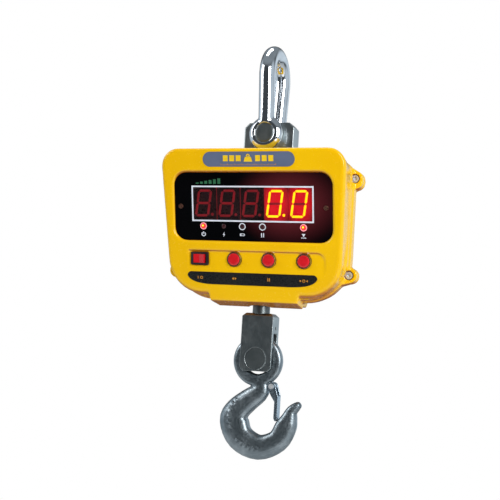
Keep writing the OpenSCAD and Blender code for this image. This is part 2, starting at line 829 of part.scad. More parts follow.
module button_cap(i) {
    color("red") control() translate([button_x[i - 1], control_y, 0]) {
        rotate_extrude() polygon([
            [0, cap_floor], [cap_r, cap_floor], [cap_r, cap_top - 1.2], [cap_r - 0.6, cap_top - 0.4],
            [cap_r - 2, cap_top - 0.1], [0, cap_top]
        ]);
        translate([0, 0, -8]) cylinder(r = stem_r, h = 8 + cap_floor);
    }
}
module button_nuts() {
    z = -wall - button_nut_t - 0.6;
    color("silver") control() for (x = button_x) translate([x, control_y, z]) difference() {
        hex(19, button_nut_t);
        translate([0, 0, -1]) cylinder(r = barrel_r, h = button_nut_t + 2);
    }
}

// Bearing and rod -----------------------------------------------------------
module race(z, bore_r) {
    color("silver") hang() translate([0, 0, z]) difference() {
        cylinder(r = race_r, h = race_t);
        translate([0, 0, -1]) cylinder(r = bore_r + running, h = race_t + 2);
    }
}
module bearing_lower_race() { race(foot_floor_z, rod_d / 2); }
module bearing_balls() {
    color("gainsboro") hang() for (i = [0 : ball_count - 1]) rotate([0, 0, i * 360 / ball_count])
        translate([ball_ring_r, 0, race_top_z + ball_r]) sphere(ball_r);
}
module bearing_upper_race() { race(upper_race_z, rod_thread_r); }
module load_rod() {
    shoulder_z = race_top_z + ball_r;
    thread_z = shoulder_z - 1;
    color("dimgray") hang() difference() {
        union() {
            translate([0, 0, rod_end_z]) cylinder(d = rod_d, h = shoulder_z - rod_end_z);
            translate([0, 0, thread_z]) cylinder(r = rod_thread_r, h = nut_z + nut_t + 2 - thread_z);
        }
        along_y(0, nut_z + nut_t / 2, nut_pin_r, -20, 20);
    }
}
module rod_nut() {
    color("gray") hang() translate([0, 0, nut_z]) difference() {
        hex(nut_across_flats, nut_t);
        translate([0, 0, -1]) cylinder(r = rod_thread_r, h = nut_t + 2);
        translate([0, 20, nut_t / 2]) rotate([90, 0, 0]) cylinder(r = nut_pin_r, h = 40);
    }
}
module nut_pin() {
    color("silver") hang() along_y(0, nut_z + nut_t / 2, nut_pin_r, -14, 14);
}

// Clevis --------------------------------------------------------------------
module clevis_block() {
    w = clevis_w / 2;
    c = clevis_chamfer;
    color("gray") hang() difference() {
        slab(-clevis_t / 2, clevis_t / 2) polygon([
            [-w + c, clevis_top_z], [w - c, clevis_top_z], [w, clevis_top_z - c],
            [w, clevis_end_z + c], [w - c, clevis_end_z], [-w + c, clevis_end_z],
            [-w, clevis_end_z + c], [-w, clevis_top_z - c]
        ]);
        for (m = [0, 1]) mirror([0, m, 0]) translate([0, clevis_t / 2, clevis_top_z]) rotate([45, 0, 0])
            cube([2 * clevis_w, c, c], center = true);
        translate([-clevis_w, -clevis_slot_t / 2, clevis_end_z - 1])
            cube([2 * clevis_w, clevis_slot_t, clevis_slot_z - clevis_end_z + 1]);
        along_y(0, hook_pin_z, hook_pin_d / 2, -clevis_t, clevis_t);
        translate([0, 0, rod_end_z]) cylinder(d = rod_d, h = 40);
        translate([0, 0, clevis_screw_z]) rotate([0, 90, 0]) cylinder(r = clevis_screw_r, h = clevis_w);
    }
}
module clevis_screw() {
    color("black") hang() translate([rod_d / 2, 0, clevis_screw_z]) rotate([0, 90, 0])
        cylinder(r = clevis_screw_r, h = clevis_w / 2 - rod_d / 2 - 1.5);
}
module hook_pin() {
    bevel = 0.6;
    h = clevis_t / 2;
    r = hook_pin_d / 2;
    color("dimgray") hang() translate([0, 0, hook_pin_z]) rotate([90, 0, 0]) rotate_extrude() polygon([
        [0, -h], [r - bevel, -h], [r, -h + bevel], [r, h - bevel], [r - bevel, h], [0, h]
    ]);
}

// Hook ----------------------------------------------------------------------
// Catmull-Rom point at t between rows 1 and 2 of four rows
function spline(a, b, c, d, t) = 0.5 * (2 * b + (c - a) * t + (2 * a - 5 * b + 4 * c - d) * t * t
    + (3 * b - a - 3 * c + d) * t * t * t);
function path_row(i) = hook_path[max(0, min(len(hook_path) - 1, i))];
function path_at(i, t) = spline(path_row(i - 1), path_row(i), path_row(i + 1), path_row(i + 2), t);
stations = [
    for (i = [0 : len(hook_path) - 2], k = [0 : path_steps - 1]) path_at(i, k / path_steps),
    path_row(len(hook_path) - 1)
];
last = len(stations) - 1;
// Unit normal of the path in its own plane
function side(i) =
    let (a = stations[max(0, i - 1)], b = stations[min(last, i + 1)], n = norm([b[0] - a[0], b[1] - a[1]]))
    [-(b[1] - a[1]) / n, (b[0] - a[0]) / n];
function ease(v, p) = sign(v) * pow(abs(v), p);
// The section grows squarer on its inner side towards the bowl
function inner_power(z) = 0.8 - 0.2 * max(0, min(1, (-300 - z) / 30));
function ring(c, n, w, t) = [
    for (k = [0 : ring_sides - 1])
        let (a = 360 * k / ring_sides, p = cos(a) > 0 ? inner_power(c[1]) : outer_power)
        [c[0] + n[0] * w * ease(cos(a), p), t * ease(sin(a), p), c[1] + n[1] * w * ease(cos(a), p)]
];
module hook_body() {
    tip = stations[last];
    n = side(last);
    ahead = [tip[0] + n[1] * tip_reach, tip[1] - n[0] * tip_reach];
    rings = concat([for (i = [0 : last]) ring(stations[i], side(i), stations[i][2], stations[i][3])],
        [ring(ahead, n, tip[2] * 0.6, tip[3] * 0.6)]);
    points = [for (r = rings, p = r) p];
    count = len(rings);
    faces = concat(
        [for (i = [0 : count - 2], k = [0 : ring_sides - 1], h = [0, 1])
            let (a = i * ring_sides, b = a + ring_sides, q = (k + 1) % ring_sides)
            h == 0 ? [a + k, a + q, b + k] : [a + q, b + q, b + k]],
        [[for (k = [ring_sides - 1 : -1 : 0]) k]],
        [[for (k = [0 : ring_sides - 1]) (count - 1) * ring_sides + k]]
    );
    polyhedron(points, faces, convexity = 8);
}
module hook_eye() {
    e = eye_edge_r;
    translate([0, 0, eye_z]) rotate([90, 0, 0]) rotate_extrude() {
        for (r = [eye_hole_r + e, eye_r - e], z = [-eye_t / 2 + e, eye_t / 2 - e])
            translate([r, z]) circle(e);
        translate([eye_hole_r, -eye_t / 2 + e]) square([eye_r - eye_hole_r, eye_t - 2 * e]);
        translate([eye_hole_r + e, -eye_t / 2]) square([eye_r - eye_hole_r - 2 * e, eye_t]);
    }
}
module hook() {
    color("slategray") hang() difference() {
        union() {
            hook_eye();
            hook_body();
            along_y(latch_pivot[0], latch_pivot[1], latch_boss_r - 1, -latch_lug_t / 2, latch_lug_t / 2);
            translate([8, -latch_lug_t / 2, latch_pivot[1] - 4]) cube([latch_pivot[0] - 8, latch_lug_t, 8]);
        }
        along_y(0, eye_z, eye_hole_r, -20, 20);
        along_y(latch_pivot[0], latch_pivot[1], latch_pin_r, -20, 20);
    }
}
module latch_pin() {
    head = latch_gap + latch_plate_t + 0.3;
    color("silver") hang() {
        along_y(latch_pivot[0], latch_pivot[1], latch_pin_r, -head, head);
        for (y0 = [-head - 1, head]) along_y(latch_pivot[0], latch_pivot[1], latch_pin_r + 1, y0, y0 + 1);
    }
}
module latch_spring() {
    wire = 0.45;
    coil_r = latch_pin_r + wire + 0.2;
    color("gray") hang() translate([latch_pivot[0], 0, latch_pivot[1]]) for (m = [0, 1]) mirror([0, m, 0])
        translate([0, (latch_lug_t / 2 + latch_gap) / 2, 0]) rotate([90, 0, 0])
            rotate_extrude() translate([coil_r, 0]) circle(wire, $fn = 16);
}
module latch_cheek() {
    p = latch_pivot;
    l = latch_left_x;
    r = latch_right_x;
    translate(p) circle(latch_boss_r);
    polygon([
        p + [-4.5, -1.5], p + [0, -10.5], [l, p[1] - 17], [l, latch_end_z + 3], [l + 1.5, latch_end_z],
        [r - 0.8, latch_end_z], [r, latch_end_z + 3], [r, p[1] - latch_shoulder], p + [latch_boss_r, 0]
    ]);
}
module latch() {
    p = latch_pivot;
    r = latch_right_x;
    out = latch_gap + latch_plate_t;
    color("lightsteelblue") hang() difference() {
        union() {
            for (m = [0, 1]) mirror([0, m, 0]) slab(latch_gap, out) latch_cheek();
            slab(-out, out) polygon([
                [r - 0.8, latch_end_z], [r, latch_end_z + 3], [r, p[1] - latch_shoulder],
                [r - latch_plate_t, p[1] - latch_shoulder], [r - latch_plate_t, latch_end_z + 3],
                [r - 0.8 - latch_plate_t, latch_end_z]
            ]);
        }
        along_y(p[0], p[1], latch_pin_r + running, -20, 20);
    }
}

module digit_module_1() { digit_module(1); }
module digit_module_2() { digit_module(2); }
module digit_module_3() { digit_module(3); }
module digit_module_4() { digit_module(4); }
module digit_module_5() { digit_module(5); }
module button_housing_1() { button_housing(1); }
module button_housing_2() { button_housing(2); }
module button_housing_3() { button_housing(3); }
module button_cap_1() { button_cap(1); }
module button_cap_2() { button_cap(2); }
module button_cap_3() { button_cap(3); }

shackle();
shackle_pin();
load_cell();
strain_gauges();
gauge_sealant();
neck_seal();
mount_plate();
mount_plate_screws();
front_shell();
rear_shell();
case_gasket();
case_screws();
display_panel();
panel_screws();
display_filter();
digit_module_1();
digit_module_2();
digit_module_3();
digit_module_4();
digit_module_5();
display_board();
board_standoffs();
board_screws();
indicator_leds();
upper_label();
lower_label();
main_board();
main_board_standoffs();
receiver_module();
receiver_antenna();
battery_left();
battery_right();
battery_bar();
battery_bar_screws();
charge_socket();
charge_socket_nut();
rocker_housing();
rocker();
button_housing_1();
button_housing_2();
button_housing_3();
button_nuts();
button_cap_1();
button_cap_2();
button_cap_3();
bearing_lower_race();
bearing_balls();
bearing_upper_race();
load_rod();
rod_nut();
nut_pin();
clevis_block();
clevis_screw();
hook_pin();
hook();
latch_pin();
latch_spring();
latch();
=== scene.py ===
import json
import math

import bmesh
import bpy
from mathutils import Matrix, Vector


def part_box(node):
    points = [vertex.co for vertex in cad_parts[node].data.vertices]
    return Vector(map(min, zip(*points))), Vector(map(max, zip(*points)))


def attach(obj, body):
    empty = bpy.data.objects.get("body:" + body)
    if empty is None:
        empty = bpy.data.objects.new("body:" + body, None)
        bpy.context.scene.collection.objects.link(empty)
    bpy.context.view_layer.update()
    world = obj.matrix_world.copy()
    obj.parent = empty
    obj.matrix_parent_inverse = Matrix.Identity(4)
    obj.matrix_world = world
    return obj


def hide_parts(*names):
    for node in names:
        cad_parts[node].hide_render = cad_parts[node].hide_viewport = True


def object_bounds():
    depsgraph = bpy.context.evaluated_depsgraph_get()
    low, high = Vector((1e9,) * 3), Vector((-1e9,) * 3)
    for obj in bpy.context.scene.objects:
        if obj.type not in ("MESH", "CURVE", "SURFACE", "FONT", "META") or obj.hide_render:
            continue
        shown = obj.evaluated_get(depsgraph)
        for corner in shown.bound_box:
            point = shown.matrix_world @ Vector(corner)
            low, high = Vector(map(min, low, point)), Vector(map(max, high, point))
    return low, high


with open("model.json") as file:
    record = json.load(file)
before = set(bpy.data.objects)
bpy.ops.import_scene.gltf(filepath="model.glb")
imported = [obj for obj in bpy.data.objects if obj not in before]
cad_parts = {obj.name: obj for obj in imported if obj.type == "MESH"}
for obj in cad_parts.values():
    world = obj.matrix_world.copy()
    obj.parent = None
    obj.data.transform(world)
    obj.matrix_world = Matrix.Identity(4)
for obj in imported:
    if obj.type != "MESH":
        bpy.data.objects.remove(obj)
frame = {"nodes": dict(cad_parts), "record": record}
cad_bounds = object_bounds()

MM = 0.001
scene = bpy.context.scene
scene.view_settings.view_transform = "Standard"
slot_of = {part["node"]: part["material_slot"] for part in frame["record"]["subparts"]}

# The front face leans back by this angle towards its foot. Its origin is level with the seal on the case.
RAKE = math.radians(14)
case_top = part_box("neck_seal")[0].z
FACE = Matrix.Translation((0, -73.4 * MM, case_top)) @ Matrix.Rotation(math.pi / 2 + RAKE, 4, "X")
# The black panel's front surface, behind the face, and the height of what is printed on it
PANEL_OUT = -2.0
PRINT = 0.12


# Camera, lights, floor ---------------------------------------------------------------------------
def add_camera():
    """A long lens to the right of the display and a little below it, rolled as the photograph is."""
    azimuth, elevation, roll = math.radians(19.24), math.radians(-5.56), math.radians(3.5)
    target = Vector((-18.3, 0, -221.7)) * MM
    distance = 1156.2 * MM
    back = Vector((
        math.sin(azimuth) * math.cos(elevation), -math.cos(azimuth) * math.cos(elevation), math.sin(elevation)
    ))
    right = Vector((math.cos(azimuth), math.sin(azimuth), 0))
    up = back.cross(right)
    side = right * math.cos(roll) + up * math.sin(roll)
    top = up * math.cos(roll) - right * math.sin(roll)
    camera = bpy.data.objects.new("camera", bpy.data.cameras.new("camera"))
    camera.data.lens = 71.6
    camera.data.sensor_width = 36
    turn = Matrix((side, top, back)).transposed().to_4x4()
    camera.matrix_world = Matrix.Translation(target + back * distance) @ turn
    scene.collection.objects.link(camera)
    scene.camera = camera


def add_area_light(name, place, size, power, colour=(1, 1, 1)):
    """A softbox at a place in metres, aimed at the middle of the scale."""
    light = bpy.data.lights.new(name, "AREA")
    light.shape = "RECTANGLE"
    light.size, light.size_y = size
    light.energy = power
    light.color = colour
    lamp = bpy.data.objects.new(name, light)
    aim = Vector((0, 0, -0.22)) - Vector(place)
    lamp.matrix_world = Matrix.Translation(place) @ aim.to_track_quat("-Z", "Y").to_matrix().to_4x4()
    scene.collection.objects.link(lamp)


def add_world():
    """White behind the object, which itself reflects a dim studio.

    The studio is brighter above, at both sides, and in one patch behind on the right.
    """
    world = bpy.data.worlds.new("studio")
    scene.world = world
    world.use_nodes = True
    tree = world.node_tree
    tree.nodes.clear()
    place = add(tree, "ShaderNodeTexCoord").outputs["Generated"]
    axes = add(tree, "ShaderNodeSeparateXYZ", {0: place})
    above = ramp_value(tree, axes.outputs["Z"], 0.45, 0.75, 0.07, 0.30)
    flank = ramp_value(tree, maths(tree, "ABSOLUTE", axes.outputs["X"]), 0.72, 0.92, 0.0, 0.6)
    aim = Vector((0.42, 0.90, 0.10)).normalized()
    facing = add(tree, "ShaderNodeVectorMath", {0: place, 1: aim}, operation="DOT_PRODUCT").outputs["Value"]
    behind = ramp_value(tree, facing, 0.80, 0.97, 0.0, 0.75)
    level = maths(tree, "ADD", maths(tree, "ADD", above, flank), behind)
    seen = add(tree, "ShaderNodeBackground", {"Color": (0.80, 0.91, 1, 1), "Strength": level})
    plain = add(tree, "ShaderNodeBackground", {"Color": (1, 1, 1, 1), "Strength": 1.0})
    ray = add(tree, "ShaderNodeLightPath").outputs["Is Camera Ray"]
    mixed = add(tree, "ShaderNodeMixShader", {0: ray, 1: seen.outputs[0], 2: plain.outputs[0]})
    add(tree, "ShaderNodeOutputWorld", {"Surface": mixed.outputs[0]})


def add_floor():
    """A plain pale floor well below the hook, which hangs free."""
    clearance = 0.45
    half = 1.3
    level = cad_bounds[0].z - clearance
    corners = [(x * half, y * half, level) for x, y in ((-1, -1), (1, -1), (1, 1), (-1, 1))]
    mesh = bpy.data.meshes.new("floor")
    mesh.from_pydata(corners, [], [(0, 1, 2, 3)])
    floor = bpy.data.objects.new("floor", mesh)
    scene.collection.objects.link(floor)
    pale = finish("pale_floor", (0.8, 0.8, 0.79), (0.76, 0.76, 0.76), (0.6, 0.75), patch=3, grain=80)
    floor.data.materials.append(pale)


# Node helpers ------------------------------------------------------------------------------------
def add(tree, kind, inputs=None, **settings):
    """A node of a kind, with its settings and its inputs, each a value or another node's socket."""
    node = tree.nodes.new(kind)
    for key, value in settings.items():
        setattr(node, key, value)
    for key, value in (inputs or {}).items():
        if isinstance(value, bpy.types.NodeSocket):
            tree.links.new(value, node.inputs[key])
        else:
            node.inputs[key].default_value = value
    return node


def maths(tree, operation, a, b=0.0):
    return add(tree, "ShaderNodeMath", {0: a, 1: b}, operation=operation).outputs[0]


def ramp_value(tree, value, from_low, from_high, to_low, to_high):
    """Maps a value smoothly from one range to another, clamped at both ends."""
    inputs = {
        "Value": value, "From Min": from_low, "From Max": from_high, "To Min": to_low, "To Max": to_high,
    }
    return add(tree, "ShaderNodeMapRange", inputs, interpolation_type="SMOOTHSTEP").outputs["Result"]


def mix_colour(tree, factor, a, b):
    """Colour a where the factor is 0, b where it is 1. Both are RGB or sockets."""
    a, b = ((*c, 1) if isinstance(c, tuple) else c for c in (a, b))
    return add(tree, "ShaderNodeMix", {0: factor, 6: a, 7: b}, data_type="RGBA").outputs[2]


def noise(tree, scale, detail=3.0, stretch=(1, 1, 1)):
    """Noise in the object's own coordinates, in features per metre."""
    place = add(tree, "ShaderNodeTexCoord").outputs["Object"]
    place = add(tree, "ShaderNodeMapping", {"Vector": place, "Scale": stretch}).outputs[0]
    return add(tree, "ShaderNodeTexNoise", {"Vector": place, "Scale": scale, "Detail": detail}).outputs["Fac"]


def finish(
    name, colour, tint, rough, metallic=0.0, coat=0.0, patch=25.0, grain=900.0, bump=0.03, stretch=(1, 1, 1),
    wear=None, grime=None, grime_reach=6.0, under=None, specular=0.5
):
    """A procedural material: colour varies to tint in patches, roughness and bump follow a fine grain.

    wear is the bare colour that shows along edges, grime the painted shade laid within grime_reach mm of a
    corner, and under the painted shade on what faces down.
    """
    material = bpy.data.materials.new(name)
    material.use_nodes = True
    tree = material.node_tree
    shader = tree.nodes["Principled BSDF"]
    blotch = ramp_value(tree, noise(tree, patch), 0.35, 0.65, 0.0, 1.0)
    shade = mix_colour(tree, blotch, colour, tint)
    # Painted shade: ambient occlusion darkens the colour towards grime near corners and in recesses
    if grime:
        shelter = add(tree, "ShaderNodeAmbientOcclusion", {"Distance": grime_reach * MM}, samples=8)
        shade = mix_colour(tree, ramp_value(tree, shelter.outputs["AO"], 0.35, 0.8, 1.0, 0.0), shade, grime)
    # Painted shade: surfaces that face down take the darker under colour
    if under:
        facing = add(tree, "ShaderNodeTexCoord").outputs["Normal"]
        height = add(tree, "ShaderNodeSeparateXYZ", {0: facing}).outputs["Z"]
        shade = mix_colour(tree, ramp_value(tree, height, -0.85, -0.4, 0.85, 0.0), shade, under)
    if wear:
        edge = add(tree, "ShaderNodeNewGeometry").outputs["Pointiness"]
        edge = maths(tree, "MULTIPLY", ramp_value(tree, edge, 0.53, 0.6, 0.0, 1.0), blotch)
        shade = mix_colour(tree, edge, shade, wear)
    fine = noise(tree, grain, 4.0, stretch)
    tree.links.new(shade, shader.inputs["Base Color"])
    tree.links.new(ramp_value(tree, fine, 0.3, 0.7, *rough), shader.inputs["Roughness"])
    relief = add(tree, "ShaderNodeBump", {"Strength": 1.0, "Distance": bump * MM, "Height": fine})
    tree.links.new(relief.outputs[0], shader.inputs["Normal"])
    shader.inputs["Metallic"].default_value = metallic
    shader.inputs["Coat Weight"].default_value = coat
    shader.inputs["Coat Roughness"].default_value = 0.06
    shader.inputs["Specular IOR Level"].default_value = specular
    return material


def glow(material, colour, strength, centre=None, reach=None):
    """Makes a material give light: all over, or fading out from a centre in the face's own frame, in mm."""
    tree = material.node_tree
    shader = tree.nodes["Principled BSDF"]
    fine = ramp_value(tree, noise(tree, 700), 0.2, 0.8, 0.85, 1.0)
    tint = mix_colour(tree, fine, (0, 0, 0), colour)
    if centre:
        place = add(tree, "ShaderNodeTexCoord").outputs["Object"]
        inputs = {
            "Vector": place, "Location": FACE @ (Vector(centre) * MM), "Scale": Vector(reach) * MM,
            "Rotation": (math.pi / 2 + RAKE, 0, 0),
        }
        near = add(tree, "ShaderNodeMapping", inputs, vector_type="TEXTURE").outputs[0]
        fade = add(tree, "ShaderNodeTexGradient", {"Vector": near}, gradient_type="SPHERICAL").outputs["Fac"]
        tint = mix_colour(tree, ramp_value(tree, fade, 0.0, 0.75, 0.0, 1.0), (0, 0, 0), tint)
    tree.links.new(tint, shader.inputs["Emission Color"])
    shader.inputs["Emission Strength"].default_value = strength
    return material


# Materials, one for each slot of the record --------------------------------------------------------
def make_materials():
    made = {}

    def make(name, *looks, **settings):
        made[name] = finish(name, *looks, **settings)

    # The paint's red-brown in corners and its brown on what faces down are painted shade
    make(
        "yellow_paint", (0.96, 0.55, 0.001), (0.92, 0.50, 0.0005), (0.18, 0.28), coat=0.25, patch=9,
        grain=450, bump=0.02, grime=(0.33, 0.05, 0.006), grime_reach=7, under=(0.50, 0.12, 0.008),
        specular=0.35
    )
    make(
        "machined_steel", (0.43, 0.47, 0.475), (0.33, 0.37, 0.38), (0.28, 0.34), 1.0, patch=50, grain=300,
        bump=0.002, wear=(0.7, 0.72, 0.74)
    )
    # The near-black in the hook's corners is painted shade
    make(
        "forged_zinc", (0.37, 0.42, 0.45), (0.22, 0.26, 0.285), (0.28, 0.46), 1.0, patch=48, grain=520,
        bump=0.10, wear=(0.75, 0.79, 0.82), grime=(0.05, 0.058, 0.062), grime_reach=5
    )
    make("chrome_steel", (0.80, 0.83, 0.86), (0.70, 0.73, 0.77), (0.04, 0.11), 1.0, patch=60, bump=0.004)
    make("dark_steel", (0.16, 0.185, 0.19), (0.20, 0.225, 0.23), (0.30, 0.42), 0.9, patch=90, bump=0.01)
    make("zinc_steel", (0.86, 0.88, 0.90), (0.74, 0.76, 0.78), (0.32, 0.48), 0.7, patch=120)
    make(
        "zinc_sheet", (0.50, 0.60, 0.68), (0.42, 0.52, 0.60), (0.22, 0.36), 1.0, patch=110, grain=700,
        bump=0.02
    )
    make("bearing_steel", (0.72, 0.74, 0.76), (0.66, 0.68, 0.7), (0.05, 0.12), 1.0, patch=200)
    make("button_ring", (0.72, 0.72, 0.76), (0.60, 0.60, 0.66), (0.12, 0.22), 1.0, patch=150, bump=0.01)
    make("brass", (0.72, 0.50, 0.16), (0.62, 0.42, 0.13), (0.22, 0.34), 1.0, patch=150)
    make(
        "black_acrylic", (0.0008, 0.001, 0.0014), (0.0015, 0.0015, 0.002), (0.05, 0.09), patch=20, bump=0.002,
        specular=0.14
    )
    make(
        "black_label", (0.008, 0.009, 0.010), (0.014, 0.014, 0.014), (0.22, 0.34), patch=30, bump=0.01,
        specular=0.3
    )
    make("blue_label", (0.125, 0.155, 0.245), (0.11, 0.14, 0.225), (0.3, 0.42), patch=40, bump=0.01)
    make("black_plastic", (0.012, 0.012, 0.014), (0.02, 0.02, 0.022), (0.3, 0.45), patch=80, bump=0.03)
    make("black_rubber", (0.018, 0.018, 0.018), (0.03, 0.03, 0.03), (0.6, 0.8), patch=80, bump=0.05)
    make(
        "red_plastic", (0.72, 0.012, 0.02), (0.62, 0.008, 0.015), (0.16, 0.26), coat=0.3, patch=90, bump=0.01
    )
    make("red_led", (0.5, 0.02, 0.02), (0.4, 0.01, 0.01), (0.1, 0.2), patch=200)
    make("digit_plastic", (0.010, 0.008, 0.009), (0.02, 0.01, 0.012), (0.25, 0.4), patch=60)
    make("circuit_board", (0.015, 0.12, 0.045), (0.02, 0.16, 0.06), (0.3, 0.5), patch=300)
    make("battery_case", (0.03, 0.04, 0.10), (0.04, 0.05, 0.12), (0.4, 0.55), patch=60, bump=0.05)
    make("gauge_film", (0.55, 0.24, 0.03), (0.45, 0.2, 0.03), (0.4, 0.6), patch=300)
    make("white_sealant", (0.75, 0.75, 0.72), (0.68, 0.68, 0.64), (0.5, 0.7), patch=100, bump=0.1)
    make("red_filter", (1.0, 0.80, 0.80), (1.0, 0.76, 0.76), (0.01, 0.03), patch=40, bump=0.001)
    lens = made["red_filter"].node_tree.nodes["Principled BSDF"]
    lens.inputs["Transmission Weight"].default_value = 1.0
    lens.inputs["IOR"].default_value = 1.3
    # Painted light: a red glow from the lit digits is painted onto the right half of the black panel
    glow(made["black_acrylic"], (0.10, 0.012, 0.016), 1.0, centre=(42, -61, 0), reach=(70, 52, 40))
    return made


def make_prints():
    """Materials of what is printed on the panels, of the panel's screws, and of the display's lights."""
    made = {}

    def make(name, *looks, **settings):
        made[name] = finish(name, *looks, **settings)

    make("white_print", (0.80, 0.83, 0.90), (0.72, 0.76, 0.84), (0.35, 0.5), patch=200)
    make("gold_print", (0.75, 0.30, 0.02), (0.65, 0.25, 0.02), (0.35, 0.5), patch=200)
    make("yellow_print", (0.95, 0.62, 0.01), (0.88, 0.56, 0.01), (0.35, 0.5), patch=200)
    make("green_print", (0.03, 0.16, 0.07), (0.02, 0.12, 0.05), (0.35, 0.5), patch=200)
    # Painted light: the white ring round a lit lamp is tinted pink and glows with the lamp's light
    make("pink_print", (0.95, 0.35, 0.38), (0.9, 0.3, 0.33), (0.35, 0.5), patch=200)
    make("panel_screw", (0.30, 0.15, 0.10), (0.22, 0.10, 0.07), (0.25, 0.38), 0.9, patch=150)
    make("segment_dim_glow", (0.25, 0.012, 0.02), (0.2, 0.01, 0.016), (0.3, 0.45), patch=150)
    make("segment_lit", (0.9, 0.5, 0.02), (0.9, 0.45, 0.02), (0.3, 0.45), patch=150)
    make("lamp_lit", (0.8, 0.02, 0.01), (0.7, 0.02, 0.01), (0.2, 0.3), patch=150)
    make("lamp_core", (0.95, 0.6, 0.05), (0.9, 0.5, 0.04), (0.2, 0.3), patch=150)
    make("lamp_dark", (0.05, 0.008, 0.01), (0.03, 0.006, 0.008), (0.1, 0.2), patch=150)
    # Painted light: unlit strokes and the lines between the digits give off a dim red glow
    glow(made["segment_dim_glow"], (0.11, 0.006, 0.010), 1.0)
    glow(made["segment_lit"], (1.0, 0.70, 0.0), 1.5)
    glow(made["lamp_lit"], (0.9, 0.03, 0.01), 1.0)
    glow(made["lamp_core"], (1.0, 0.62, 0.03), 1.2)
    glow(made["pink_print"], (0.5, 0.12, 0.14), 1.0)
    return made


# Mesh helpers ------------------------------------------------------------------------------------
def add_piece(name, mesh, body, slot, material=None, smooth=True):
    """Links a mesh as a piece that rides on a body and takes its finish from a slot."""
    piece = bpy.data.objects.new(name, mesh)
    scene.collection.objects.link(piece)
    mesh.materials.clear()
    mesh.materials.append(material or materials[slot])
    mesh.polygons.foreach_set("use_smooth", [smooth] * len(mesh.polygons))
    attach(piece, body)
    return piece


def applied(piece):
    """The piece's mesh with its modifiers applied; the piece itself is removed."""
    graph = bpy.context.evaluated_depsgraph_get()
    mesh = bpy.data.meshes.new_from_object(piece.evaluated_get(graph))
    bpy.data.objects.remove(piece)
    return mesh


def cast(node, body, voxel, rounds, lean=0.0, extra=None):
    """Stands for a CAD node with the soft edges of a cast or forged piece.

    voxel is the grid in mm, rounds how often it is smoothed, and lean turns the grid to lie in a sloping
    face. extra adds more solids to the mesh first.
    """
    mesh = bmesh.new()
    mesh.from_mesh(frame["nodes"][node].data)
    bmesh.ops.remove_doubles(mesh, verts=mesh.verts, dist=1e-6)
    if extra:
        extra(mesh)
    turn = Matrix.Rotation(-lean, 4, "X")
    bmesh.ops.transform(mesh, matrix=turn, verts=mesh.verts)
    data = bpy.data.meshes.new(node)
    mesh.to_mesh(data)
    mesh.free()
    rough = bpy.data.objects.new(node, data)
    scene.collection.objects.link(rough)
    remesh = rough.modifiers.new("remesh", "REMESH")
    remesh.mode = "VOXEL"
    remesh.voxel_size = voxel * MM
    smooth = rough.modifiers.new("smooth", "SMOOTH")
    smooth.iterations = rounds
    data = applied(rough)
    data.transform(turn.inverted())
    piece = add_piece(node + "_cast", data, body, slot_of[node])
    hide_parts(node)


def prism(mesh, outline, low, high):
    """Adds a closed prism to a bmesh: an outline of x, y points, from low to high."""
    foot = [mesh.verts.new((x, y, low)) for x, y in outline]
    head = [mesh.verts.new((x, y, high)) for x, y in outline]
    mesh.faces.new(reversed(foot))
    mesh.faces.new(head)
    for i in range(len(outline)):
        j = (i + 1) % len(outline)
        mesh.faces.new((foot[i], foot[j], head[j], head[i]))


def annulus(mesh, centre, inner, outer, low, high, sides=48, start=0.0, sweep=2 * math.pi):
    """Adds a flat ring, or an arc of one, to a bmesh."""
    closed = sweep > 2 * math.pi - 1e-6
    steps = sides if closed else sides + 1
    rows = []
    for k in range(steps):
        angle = start + sweep * k / sides
        x, y = math.cos(angle), math.sin(angle)
        corners = ((inner, low), (outer, low), (outer, high), (inner, high))
        rows.append([mesh.verts.new((centre[0] + x * r, centre[1] + y * r, z)) for r, z in corners])
    for k in range(steps if closed else steps - 1):
        a, b = rows[k], rows[(k + 1) % steps]
        for i in range(4):
            j = (i + 1) % 4
            mesh.faces.new((a[i], b[i], b[j], a[j]))
    if not closed:
        mesh.faces.new(reversed(rows[0]))
        mesh.faces.new(rows[-1])


def rounded(x0, y0, x1, y1, radius, steps=8):
    """Outline of a rectangle with round corners."""
    left, right, foot, top = x0 + radius, x1 - radius, y0 + radius, y1 - radius
    points = []
    for quarter, (x, y) in enumerate(((right, top), (left, top), (left, foot), (right, foot))):
        for k in range(steps + 1):
            angle = math.pi / 2 * (quarter + k / steps)
            points.append((x + radius * math.cos(angle), y + radius * math.sin(angle)))
    return points


def on_face(name, build, slot, material=None, body="case", bevel=0.0):
    """A piece drawn by build(bmesh) in the front face's own frame, in mm."""
    mesh = bmesh.new()
    build(mesh)
    bmesh.ops.recalc_face_normals(mesh, faces=mesh.faces)
    if bevel:
        edges = [e for e in mesh.edges if e.calc_face_angle(0) > math.radians(50)]
        bmesh.ops.bevel(mesh, geom=edges, offset=bevel, segments=2, affect="EDGES", profile=0.5)
    bmesh.ops.transform(mesh, matrix=FACE @ Matrix.Scale(MM, 4), verts=mesh.verts)
    data = bpy.data.meshes.new(name)
    mesh.to_mesh(data)
    mesh.free()
    return add_piece(name, data, body, slot, material, smooth=False)


# Display -----------------------------------------------------------------------------------------
SLANT = math.tan(math.radians(9))
DIGIT_HALF_W, DIGIT_HALF_H, STROKE = 7.2, 14.0, 2.5
# Each stroke of a digit runs between two corners of a box that is 2 wide and 2 high
SEGMENTS = {
    "a": ((-1, 1), (1, 1)), "b": ((1, 0), (1, 1)), "c": ((1, -1), (1, 0)), "d": ((-1, -1), (1, -1)),
    "e": ((-1, -1), (-1, 0)), "f": ((-1, 0), (-1, 1)), "g": ((-1, 0), (1, 0)),
}
POINT = (DIGIT_HALF_W + 5.2, -DIGIT_HALF_H + 1.4)
POINT_R = 1.5
# Front surface of the digit modules, their depth and half their height
DIGIT_FRONT, DIGIT_DEPTH, MODULE_HALF_H = -5.2, 9.0, 19.0
# Strokes that are lit, by module; "p" is the decimal point
LIT = {4: "abcdefp", 5: "abcdef"}


